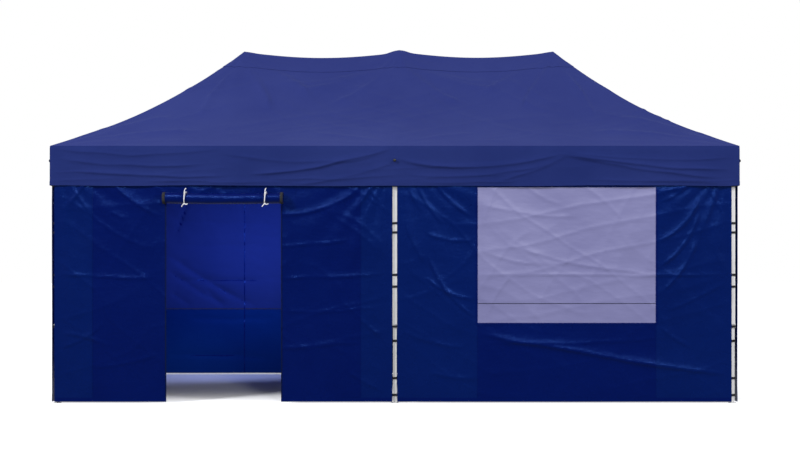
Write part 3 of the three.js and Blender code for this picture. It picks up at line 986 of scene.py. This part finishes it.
def rounded_block(name, low, high, material, bevel, wall):
    """A moulded block with rounded edges and a square bore along Z that leaves the wall round it."""
    bm = bmesh.new()
    bmesh.ops.create_cube(bm, size=1.0)
    size = Vector(high) - Vector(low)
    centre = (Vector(high) + Vector(low)) / 2
    for v in bm.verts:
        v.co = Vector((v.co.x * size.x, v.co.y * size.y, v.co.z * size.z)) + centre
    caps = [f for f in bm.faces if abs(f.normal.z) > 0.9]
    bmesh.ops.inset_individual(bm, faces=caps, thickness=wall)
    bmesh.ops.bridge_loops(bm, edges=[e for f in caps for e in f.edges])
    bmesh.ops.delete(bm, geom=caps, context="FACES_ONLY")
    piece = solid_piece(name, bm, material)
    edge = piece.modifiers.new("soft_edge", "BEVEL")
    edge.width = bevel
    edge.segments = 3
    return piece


COLLAR_HALF = 0.0245
COLLAR_LOW = 0.651
COLLAR_HIGH = 0.685
COLLAR_WALL = 0.0042
HEIGHT_BUTTON = 0.668
SLIDER_FACE = 0.029


def make_leg_fittings():
    """The collar at the foot of each upper tube, the height button on it and the slider's pull pin."""
    for name, at in LEGS.items():
        out = Vector((0, -1 if at.y < 0 else 1, 0))
        low = at + Vector((-COLLAR_HALF, -COLLAR_HALF, COLLAR_LOW))
        high = at + Vector((COLLAR_HALF, COLLAR_HALF, COLLAR_HIGH))
        collar = rounded_block(f"{name}_collar", low, high, COLLAR, 0.003, COLLAR_WALL)
        fasten(collar, f"{name}_leg")
        spot = at - out * COLLAR_HALF + Vector((0, 0, HEIGHT_BUTTON))
        fasten(lathe(f"{name}_height_button", BUTTON, ZINC, spot, -out), f"{name}_leg")
        spot = at + out * SLIDER_FACE + Vector((0, 0, PIVOT_HEIGHT - SLIDER_DROP))
        fasten(lathe(f"{name}_pull_pin", PIN, ZINC, spot, out), f"{name}_slider")


UPPER_TUBE_BOTTOM = 0.65
UPPER_TUBE_HALF = 0.0225
FOOT_TUBE_HALF = 0.0185
STRAP_SETS = (("a", 1.555, 0.446), ("b", 1.475, 0.468))
STRAPS_IN_SET = 4
STRAP_WIDTH = 0.019
STRAP_TILT = 0.05
STRAP_CORNER = 0.006


def strap_loop(name, at, z, body, half_x, half_y):
    """A hook and loop strap wound once round a leg."""
    outline = []
    radius = STRAP_CORNER
    for cx, cy, a0 in ((1, -1, -90), (1, 1, 0), (-1, 1, 90), (-1, -1, 180)):
        for k in range(5):
            a = math.radians(a0 + 90 * k / 4)
            x = cx * (half_x - radius) + radius * math.cos(a)
            y = cy * (half_y - radius) + radius * math.sin(a)
            outline.append((x, y))
    outline.append(outline[0])
    outline = np.array(outline)

    def place(index, share):
        i = index.astype(int)
        x, y = outline[i, 0] + at.x, outline[i, 1] + at.y
        return x, y, z + (share - 0.5) * STRAP_WIDTH + STRAP_TILT * outline[i, 0]

    strap = grid_sheet(name, np.arange(len(outline)), np.linspace(0, 1, 3), place, STRAP, thickness=0.0018)
    fasten(strap, body)
    return strap


def make_straps():
    """Straps from the walls' edges round the legs: two sets of four at each leg."""
    for name, at in LEGS.items():
        for group, top, spacing in STRAP_SETS:
            for k in range(STRAPS_IN_SET):
                z = top - spacing * k
                on_foot_tube = z < UPPER_TUBE_BOTTOM
                tube_half = FOOT_TUBE_HALF if on_foot_tube else UPPER_TUBE_HALF
                half_x = tube_half + (0.012 if "middle" in name else 0.004)
                strap_name = f"{name}_strap_{group}{k + 1}"
                strap = strap_loop(strap_name, at, z, f"{name}_leg", half_x, tube_half + 0.002)
                if on_foot_tube:
                    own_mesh(strap)


TOGGLE_DROP = 0.125


def make_toggles():
    """Black toggles that tie the cover to the legs: one at each corner and one at each middle leg."""
    side_x, side_y = HALF_LENGTH + 0.004, HALF_DEPTH - 0.05
    middle_y = HALF_DEPTH + 0.012
    spots = {
        "front_left": (-side_x, -side_y, (-1, 0, 0), "left"),
        "rear_left": (-side_x, side_y, (-1, 0, 0), "left"),
        "front_right": (side_x, -side_y, (1, 0, 0), "right"),
        "rear_right": (side_x, side_y, (1, 0, 0), "right"),
        "front_middle": (0.0, -middle_y, (0, -1, 0), "front"),
        "rear_middle": (0.0, middle_y, (0, 1, 0), "rear"),
    }
    for name, (x, y, out, band) in spots.items():
        knob = lathe(f"{name}_toggle", TOGGLE, NYLON, (x, y, EAVE - TOGGLE_DROP), out, 16)
        motion = BAND_MOTION if band in ("front", "rear") else END_MOTION
        follow_fold(knob, f"valance_{band}", *motion)


def dress_frame():
    for name, node in NODES.items():
        material = None
        if name.endswith("_leg"):
            material = STEEL
        elif name.endswith("_slider"):
            material = NYLON
        elif "_bar_" in name:
            material = BAR
        if material is not None:
            node.data.materials.clear()
            node.data.materials.append(material)


# ---- stage, light, camera ----
WORLD_LIGHT = 0.36
FLOOR = 60


def make_stage():
    paint = Paint("floor_paint", 0.9)
    paint.fix("Base Color", (0.94, 0.95, 0.98, 1))
    paint.fix("Specular IOR Level", 0.05)
    split = paint.add("ShaderNodeSeparateXYZ")
    paint.link(paint.place, split.inputs[0])

    def ramp(value, start, end):
        node = paint.add("ShaderNodeMapRange")
        node.inputs["From Min"].default_value = start
        node.inputs["From Max"].default_value = end
        paint.link(value, node.inputs["Value"])
        return node.outputs["Result"]

    # White outside the canopy. Under it the floor keeps its own shade, except for painted light that glows
    # stronger towards the front.
    across = paint.math("ABSOLUTE", split.outputs["X"], 0)
    sides = ramp(across, HALF_LENGTH - 0.04, HALF_LENGTH + 0.4)
    behind = ramp(split.outputs["Y"], HALF_DEPTH + 0.02, HALF_DEPTH + 0.5)
    # Painted light: under the canopy the floor glows more towards the front, standing in for light that comes
    # in there.
    painted_light_towards_front = paint.math("POWER", ramp(split.outputs["Y"], -0.1, -HALF_DEPTH - 0.10), 3.0)
    white_floor_and_painted_light = paint.math("MAXIMUM", paint.math("MAXIMUM", sides, behind), painted_light_towards_front)
    paint.fix("Emission Color", (1, 1, 1, 1))
    paint.link(white_floor_and_painted_light, paint.shader.inputs["Emission Strength"])
    corners = [(-FLOOR, -FLOOR, 0), (FLOOR, -FLOOR, 0), (FLOOR, FLOOR, 0), (-FLOOR, FLOOR, 0)]
    floor = new_mesh("floor", corners, [(0, 1, 2, 3)], paint.material, smooth=False)
    floor.visible_diffuse = False
    floor.visible_glossy = False
    world = bpy.data.worlds.new("studio")
    world.use_nodes = True
    tree = world.node_tree
    background = tree.nodes["Background"]
    background.inputs["Color"].default_value = (1.0, 1.0, 1.0, 1)
    path = tree.nodes.new("ShaderNodeLightPath")
    strength = tree.nodes.new("ShaderNodeMapRange")
    strength.inputs["To Min"].default_value = WORLD_LIGHT
    tree.links.new(path.outputs["Is Camera Ray"], strength.inputs["Value"])
    tree.links.new(strength.outputs["Result"], background.inputs["Strength"])
    bpy.context.scene.world = world
    bpy.context.scene.view_settings.view_transform = "Standard"


LIGHTS = (
    ("key_left", (-8.0, -7.5, 8.0), (0, 0, 1.5), (2.2, 1.4), 950),
    ("key_right", (8.5, -6.5, 7.5), (0, 0, 1.5), (2.2, 1.4), 520),
    ("rear", (3.0, 11.0, 7.0), (0, 0, 1.2), (4.0, 2.0), 420),
    ("gleam", (2.5, -12.0, 6.0), (0, 0, 1.2), (1.4, 0.8), 280),
    ("inside", (-1.1, -0.4, 1.95), (-1.9, 1.46, 1.15), (1.6, 0.5), 20, (0.42, 0.50, 1.0), 85),
)


def area_light(name, at, target, size, power, tone=(1, 1, 1), spread=180):
    """A soft rectangular light; size in metres, power in watts, spread in degrees."""
    data = bpy.data.lights.new(name, "AREA")
    data.shape = "RECTANGLE"
    data.size, data.size_y = size
    data.energy = power
    data.color = tone
    data.spread = math.radians(spread)
    light = add_object(name, data)
    light.location = at
    light.rotation_mode = "QUATERNION"
    light.rotation_quaternion = (Vector(target) - Vector(at)).to_track_quat("-Z", "Y")


CAMERA_DISTANCE = 11.6
CAMERA_HEIGHT = 1.23
CAMERA_SIDE = 0.30
FOCAL = 60.6
SHIFT_X = -0.0369
SHIFT_Y = 0.036


def make_camera():
    data = bpy.data.cameras.new("camera")
    data.sensor_width = 36.0
    data.lens = FOCAL
    data.shift_x = SHIFT_X
    data.shift_y = SHIFT_Y
    camera = add_object("camera", data)
    camera.location = (CAMERA_SIDE, -HALF_DEPTH - CAMERA_DISTANCE, CAMERA_HEIGHT)
    camera.rotation_euler = (math.pi / 2, 0, 0)
    bpy.context.scene.camera = camera


make_camera()
make_stage()
for light in LIGHTS:
    area_light(*light)
dress_frame()
make_roof()
make_valance()
make_door_wall()
make_window_wall()
make_plain_walls()
make_rolled_door()
make_ties()
make_rivets()
make_leg_fittings()
make_straps()
make_toggles()
